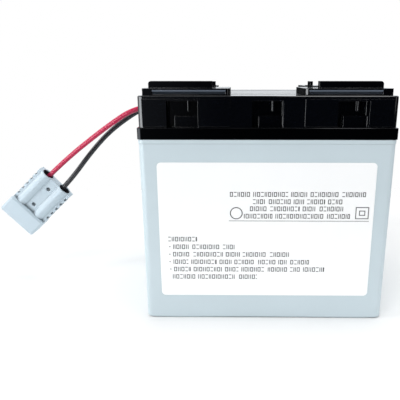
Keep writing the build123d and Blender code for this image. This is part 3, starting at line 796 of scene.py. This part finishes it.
class CARTRIDGE_OT_label(bpy.types.Operator):
    """Finishes the front label and lays its simple print on it"""

    bl_idname = "cartridge.label"
    bl_label = "Label"

    def execute(self, context):
        s = context.scene.cartridge
        paper = plastic("Label film", (0.97, 0.98, 0.985), 0.3, grain=0.06, scale=1200.0, sink=0.05,
                        marks=0.2, dust=0.0, variation=0.01, edge=0.0001)
        dress(paper, "front_label")
        ink = plastic("Label ink", tuple(s.print_color), 0.45, grain=0.1, scale=3000.0, sink=0.0, marks=0.2,
                      dust=0.0, variation=0.12, edge=0.00005)
        low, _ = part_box("front_label")
        y = low.y / MM - PRINT_LIFT
        vertices, faces = [], []
        for row in PRINT_ROWS:
            print_row(vertices, faces, row, y)
        z, x0, x1, height = PRINT_RULE
        rectangle(vertices, faces, x0, x1, z, z + height, y)
        ring(vertices, faces, *RING, y)
        left, right, bottom, top = SQUARE
        for inset in (0.0, SQUARE_INSET):
            corners = (left + inset, right - inset, bottom + inset, top - inset)
            outline(vertices, faces, corners, "lrtb", SQUARE_STROKE, y)
        mesh = bpy.data.meshes.new("label_print")
        mesh.from_pydata(vertices, [], faces)
        mesh.materials.append(ink)
        piece = bpy.data.objects.new("label_print", mesh)
        context.scene.collection.objects.link(piece)
        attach(piece, "root")
        return {"FINISHED"}


# Stage

# The floor is a square with this half width, a little under the object so that the two don't touch. It
# fades out between these distances from the middle.
FLOOR_HALF = 3.0
FLOOR_Z = -0.0002
FLOOR_NEAR = 0.22
FLOOR_FAR = 0.42
# How far the photo's middle is from the camera's axis, as shares of its width
CAMERA_SHIFT = (-33.0 / 400.0, -12.5 / 400.0)
# Each lamp's name, place, target, width, height and power
LAMPS = (
    ("key", (-0.45, -0.75, 1.15), (0.0, 0.0, 0.08), 0.5, 0.5, 3.8),
    ("fill", (0.9, -0.6, 0.5), (0.0, 0.0, 0.08), 0.25, 0.9, 1.2),
    ("edge", (-0.9, -0.25, 0.35), (-0.05, 0.0, 0.1), 0.12, 0.8, 3.0),
    ("top", (0.1, 0.15, 1.2), (0.0, 0.0, 0.1), 0.9, 0.45, 4.5),
)
# The light that the room gives, and the colour of what glossy faces mirror. That is bright behind the
# object and dark in front of it and below, with a pale left side and a low strip at the left front.
ROOM_LIGHT = 0.74
ROOM_COLOR = (0.98, 0.99, 1.0)
WHITE = (1.0, 1.0, 1.0)
MIRROR_COLOR = (0.92, 0.96, 1.0)
MIRROR_FRONT = 0.012
MIRROR_BACK = 1.15
MIRROR_BELOW = 0.06
MIRROR_SIDE = 1.6
SIDE_POWER = 1.7
MIRROR_STRIP = 9.0
STRIP_AIM = (-0.77, -0.64, 0.0)
STRIP_EDGE = (0.88, 0.95)
STRIP_TOP = 0.12


def fade_out(tree, shader, near, far):
    """Lets a floor fade into the backdrop between two distances from the middle of the object."""
    length = tree.nodes.new("ShaderNodeVectorMath")
    length.operation = "LENGTH"
    tree.links.new(object_coords(tree), length.inputs[0])
    clear = tree.nodes.new("ShaderNodeBsdfTransparent")
    away = ramp(tree, length.outputs["Value"], near, far)
    faded = mix_shader(tree, away, shader.outputs[0], clear.outputs[0])
    tree.links.new(faded, tree.nodes["Material Output"].inputs["Surface"])


def mirrored_room(tree):
    """How bright the room is in each direction, as glossy faces mirror it."""
    coords = tree.nodes.new("ShaderNodeTexCoord").outputs["Generated"]
    way = split_xyz(tree, coords)
    back = ramp(tree, way["Y"], -0.25, 0.35, MIRROR_FRONT, MIRROR_BACK)
    above = ramp(tree, way["Z"], -0.01, 0.045, MIRROR_BELOW, 1.0)
    side = math_node(tree, "POWER", ramp(tree, way["X"], 0.0, -1.0), SIDE_POWER)
    aim = dot_product(tree, coords, STRIP_AIM)
    low = ramp(tree, way["Z"], STRIP_TOP, 0.0)
    strip = math_node(tree, "MULTIPLY", ramp(tree, aim, *STRIP_EDGE, 0.0, MIRROR_STRIP), low)
    room = math_node(tree, "MAXIMUM", math_node(tree, "MULTIPLY", back, above),
                     math_node(tree, "MULTIPLY", side, MIRROR_SIDE))
    return math_node(tree, "MAXIMUM", room, strip)


def make_world():
    """A white backdrop, an even room light, and a room of its own for what glossy faces mirror."""
    world = bpy.data.worlds.new("studio")
    world.use_nodes = True
    tree = world.node_tree
    tree.nodes.clear()
    shades = []
    for strength, color in ((ROOM_LIGHT, ROOM_COLOR), (1.0, WHITE), (1.0, MIRROR_COLOR)):
        shade = tree.nodes.new("ShaderNodeBackground")
        shade.inputs["Strength"].default_value = strength
        shade.inputs["Color"].default_value = (*color, 1.0)
        shades.append(shade)
    soft, white, mirror = shades
    tree.links.new(mirrored_room(tree), mirror.inputs["Strength"])
    path = tree.nodes.new("ShaderNodeLightPath").outputs
    lit = mix_shader(tree, path["Is Glossy Ray"], soft.outputs[0], mirror.outputs[0])
    seen = mix_shader(tree, path["Is Camera Ray"], lit, white.outputs[0])
    out = tree.nodes.new("ShaderNodeOutputWorld")
    tree.links.new(seen, out.inputs["Surface"])
    return world


class CARTRIDGE_OT_stage(bpy.types.Operator):
    """Sets the floor, the lights and the camera"""

    bl_idname = "cartridge.stage"
    bl_label = "Stage"

    def execute(self, context):
        scene = context.scene
        stage = scene.cartridge_stage
        data = bpy.data.cameras.new("camera")
        data.lens = stage.focal
        data.sensor_width = 36.0
        data.shift_x, data.shift_y = CAMERA_SHIFT
        data.clip_start = 0.01
        data.clip_end = 20.0
        camera = bpy.data.objects.new("camera", data)
        camera.location = stage.camera_place
        camera.rotation_euler = (math.pi / 2 - stage.camera_pitch, 0.0, -stage.camera_yaw)
        scene.collection.objects.link(camera)
        scene.camera = camera

        floor_mesh = bpy.data.meshes.new("floor")
        half = FLOOR_HALF
        floor_mesh.from_pydata([(-half, -half, 0), (half, -half, 0), (half, half, 0), (-half, half, 0)], [],
                               [(0, 1, 2, 3)])
        floor = bpy.data.objects.new("floor", floor_mesh)
        floor.location.z = FLOOR_Z
        floor_material, tree, shader = base_material("Floor", (stage.floor_tone,) * 3, 0.9, specular=0.1)
        fade_out(tree, shader, FLOOR_NEAR, FLOOR_FAR)
        floor_mesh.materials.append(floor_material)
        scene.collection.objects.link(floor)

        for name, place, target, width, height, power in LAMPS:
            light = bpy.data.lights.new(name, "AREA")
            light.shape = "RECTANGLE"
            light.size = width
            light.size_y = height
            light.energy = power
            lamp = bpy.data.objects.new(name, light)
            lamp.location = place
            aim = Vector(target) - Vector(place)
            lamp.rotation_euler = aim.to_track_quat("-Z", "Y").to_euler()
            scene.collection.objects.link(lamp)

        scene.world = make_world()
        scene.view_settings.view_transform = "Standard"
        return {"FINISHED"}


OPERATORS = (
    CARTRIDGE_OT_stage,
    CARTRIDGE_OT_leads,
    CARTRIDGE_OT_plastics,
    CARTRIDGE_OT_metals,
    CARTRIDGE_OT_label,
)


class CARTRIDGE_PT_panel(bpy.types.Panel):
    """Lists the cartridge's operators and settings"""

    bl_idname = "CARTRIDGE_PT_panel"
    bl_label = "Battery cartridge"
    bl_space_type = "VIEW_3D"
    bl_region_type = "UI"
    bl_category = "Cartridge"

    def draw(self, context):
        column = self.layout.column()
        for operator in OPERATORS:
            column.operator(operator.bl_idname)
        for settings in (context.scene.cartridge, context.scene.cartridge_stage):
            for name in settings.bl_rna.properties.keys():
                if name not in ("rna_type", "name"):
                    column.prop(settings, name)


CLASSES = (CartridgeSettings, StageSettings, *OPERATORS, CARTRIDGE_PT_panel)


def register():
    """Registers the classes and their settings."""
    for cls in CLASSES:
        bpy.utils.register_class(cls)
    bpy.types.Scene.cartridge = bpy.props.PointerProperty(type=CartridgeSettings)
    bpy.types.Scene.cartridge_stage = bpy.props.PointerProperty(type=StageSettings)


def unregister():
    """Removes the settings and the classes."""
    del bpy.types.Scene.cartridge_stage
    del bpy.types.Scene.cartridge
    for cls in reversed(CLASSES):
        bpy.utils.unregister_class(cls)


def main():
    """Makes everything in order."""
    register()
    GROUPS.update(
        moulded=make_moulded_group(),
        marks=make_marks_group(),
        dust=make_dust_group(),
        edges=make_edge_group(),
        band=make_band_group(),
        ends=make_ends_group(),
        bore=make_bore_group(),
        crevice=make_crevice_group(),
        drawn=make_drawn_group(),
    )
    bpy.ops.cartridge.stage()
    bpy.ops.cartridge.leads()
    bpy.ops.cartridge.plastics()
    bpy.ops.cartridge.metals()
    bpy.ops.cartridge.label()


if __name__ == "__main__":
    main()
